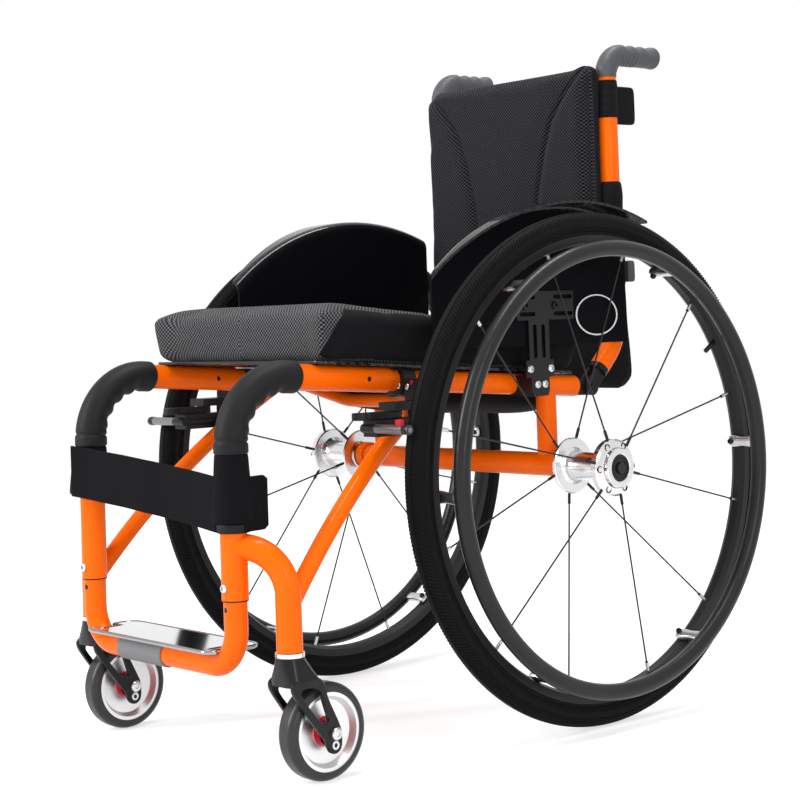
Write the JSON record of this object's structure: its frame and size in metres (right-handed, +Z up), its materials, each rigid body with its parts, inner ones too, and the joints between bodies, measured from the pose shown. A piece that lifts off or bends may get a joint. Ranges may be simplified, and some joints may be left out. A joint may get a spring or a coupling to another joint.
{
  "type": "wheelchair",
  "caption": "Rigid-frame sports wheelchair with spoked rear wheels and hand rims, swivel casters, padded seat, folding back, side guards, wheel locks and a height-adjustable footrest.",
  "frame": {"origin": "on the floor under the middle of the whole chair", "axes": "+Z up, -Y to the front of the chair, +X to the left side of a person sitting in it"},
  "size_m": [0.557, 0.7795, 0.814],
  "materials": {
    "orange_paint": "gloss",
    "black_foam": "matte",
    "seat_shell": "gloss",
    "mesh_fabric": "matte",
    "plain_fabric": "matte",
    "strap_fabric": "matte",
    "guard_black": "gloss",
    "bracket_black": "satin",
    "lock_black": "satin",
    "lock_grey": "satin",
    "bolt_steel": "satin",
    "grip_rubber": "matte",
    "sleeve_grey": "matte",
    "foot_black": "gloss",
    "trim_chrome": "polished",
    "tyre_black": "matte",
    "rim_black": "satin",
    "hub_silver": "polished",
    "button_black": "satin",
    "fork_black": "satin",
    "caster_rubber": "matte",
    "caster_silver": "polished"
  },
  "bodies": {
    "frame": {"left_frame_tube": "orange_paint", "right_frame_tube": "orange_paint", "left_seat_tube": "orange_paint", "right_seat_tube": "orange_paint", "left_caster_leg": "orange_paint", "right_caster_leg": "orange_paint", "left_brace": "orange_paint", "right_brace": "orange_paint", "left_axle_upright": "orange_paint", "right_axle_upright": "orange_paint", "axle_tube": "orange_paint", "cross_tube": "orange_paint", "left_bend_grip": "black_foam", "right_bend_grip": "black_foam", "seat_plate": "seat_shell", "seat_cushion": "mesh_fabric", "seat_pouch": "plain_fabric", "calf_strap": "strap_fabric", "left_side_guard": "guard_black", "right_side_guard": "guard_black", "left_guard_bracket": "bracket_black", "right_guard_bracket": "bracket_black", "left_brake_clamp": "lock_black", "right_brake_clamp": "lock_black", "frame_bolts": "bolt_steel", "wheel_axles": "bolt_steel"},
    "left_lock_lever": {"left_brake_lever": "lock_black"},
    "left_lock_shoe": {"left_brake_shoe": "lock_grey"},
    "left_rear_wheel": {"left_tyre": "tyre_black", "left_rim": "rim_black", "left_spokes": "rim_black", "left_hub": "hub_silver", "left_handrim": "rim_black"},
    "left_release": {"left_button": "button_black"},
    "left_swivel": {"left_caster_fork": "fork_black", "left_caster_pins": "bolt_steel"},
    "left_roller": {"left_caster_tyre": "caster_rubber", "left_caster_rim": "caster_silver"},
    "right_lock_lever": {"right_brake_lever": "lock_black"},
    "right_lock_shoe": {"right_brake_shoe": "lock_grey"},
    "right_rear_wheel": {"right_tyre": "tyre_black", "right_rim": "rim_black", "right_spokes": "rim_black", "right_hub": "hub_silver", "right_handrim": "rim_black"},
    "right_release": {"right_button": "button_black"},
    "right_swivel": {"right_caster_fork": "fork_black", "right_caster_pins": "bolt_steel"},
    "right_roller": {"right_caster_tyre": "caster_rubber", "right_caster_rim": "caster_silver"},
    "backrest": {"left_cane": "orange_paint", "right_cane": "orange_paint", "left_push_grip": "grip_rubber", "right_push_grip": "grip_rubber", "back_upholstery": "mesh_fabric", "back_sling": "plain_fabric"},
    "footrest": {"footrest_tube": "orange_paint", "footrest_sleeve": "sleeve_grey", "footplate": "foot_black", "footplate_trim": "trim_chrome"}
  },
  "joints": [
    {"name": "left_wheel_spin", "type": "hinge", "parent": "frame", "child": "left_rear_wheel", "pos_m": [0.232, 0.09275, 0.297], "axis": [1, 0, 0], "continuous": true},
    {"name": "left_release_press", "type": "slide", "parent": "frame", "child": "left_release", "axis": [-1, 0, 0], "range_m": [0, 0.005], "stiffness_N_per_m": 400, "springref_m": -0.005},
    {"name": "left_caster_swivel", "type": "hinge", "parent": "frame", "child": "left_swivel", "pos_m": [0.187, -0.33425, 0.13], "axis": [0, 0, 1], "continuous": true},
    {"name": "left_caster_spin", "type": "hinge", "parent": "left_swivel", "child": "left_roller", "pos_m": [0.187, -0.29525, 0.051], "axis": [1, 0, 0], "continuous": true},
    {"name": "left_lock_swing", "type": "hinge", "parent": "frame", "child": "left_lock_lever", "pos_m": [0.179, -0.17125, 0.373], "axis": [0, 0, -1], "range_deg": [0, 50]},
    {"name": "left_shoe_swing", "type": "hinge", "parent": "frame", "child": "left_lock_shoe", "pos_m": [0.179, -0.14925, 0.362], "axis": [0, 0, 1], "range_deg": [0, 6.2]},
    {"name": "right_wheel_spin", "type": "hinge", "parent": "frame", "child": "right_rear_wheel", "pos_m": [-0.232, 0.09275, 0.297], "axis": [1, 0, 0], "continuous": true},
    {"name": "right_release_press", "type": "slide", "parent": "frame", "child": "right_release", "axis": [1, 0, 0], "range_m": [0, 0.005], "stiffness_N_per_m": 400, "springref_m": -0.005},
    {"name": "right_caster_swivel", "type": "hinge", "parent": "frame", "child": "right_swivel", "pos_m": [-0.187, -0.33425, 0.13], "axis": [0, 0, 1], "continuous": true},
    {"name": "right_caster_spin", "type": "hinge", "parent": "right_swivel", "child": "right_roller", "pos_m": [-0.187, -0.29525, 0.051], "axis": [1, 0, 0], "continuous": true},
    {"name": "right_lock_swing", "type": "hinge", "parent": "frame", "child": "right_lock_lever", "pos_m": [-0.179, -0.17125, 0.373], "axis": [0, 0, 1], "range_deg": [0, 50]},
    {"name": "right_shoe_swing", "type": "hinge", "parent": "frame", "child": "right_lock_shoe", "pos_m": [-0.179, -0.14925, 0.362], "axis": [0, 0, -1], "range_deg": [0, 6.2]},
    {"name": "backrest_fold", "type": "hinge", "parent": "frame", "child": "backrest", "pos_m": [0, 0.16875, 0.38669], "axis": [1, 0, 0], "range_deg": [0, 42]},
    {"name": "footrest_height", "type": "slide", "parent": "frame", "child": "footrest", "axis": [0, 0, 1], "range_m": [0, 0.026]}
  ],
  "couplings": [
    {"joint": "left_shoe_swing", "follows": "left_lock_swing", "ratio": 0.124},
    {"joint": "right_shoe_swing", "follows": "right_lock_swing", "ratio": 0.124}
  ]
}
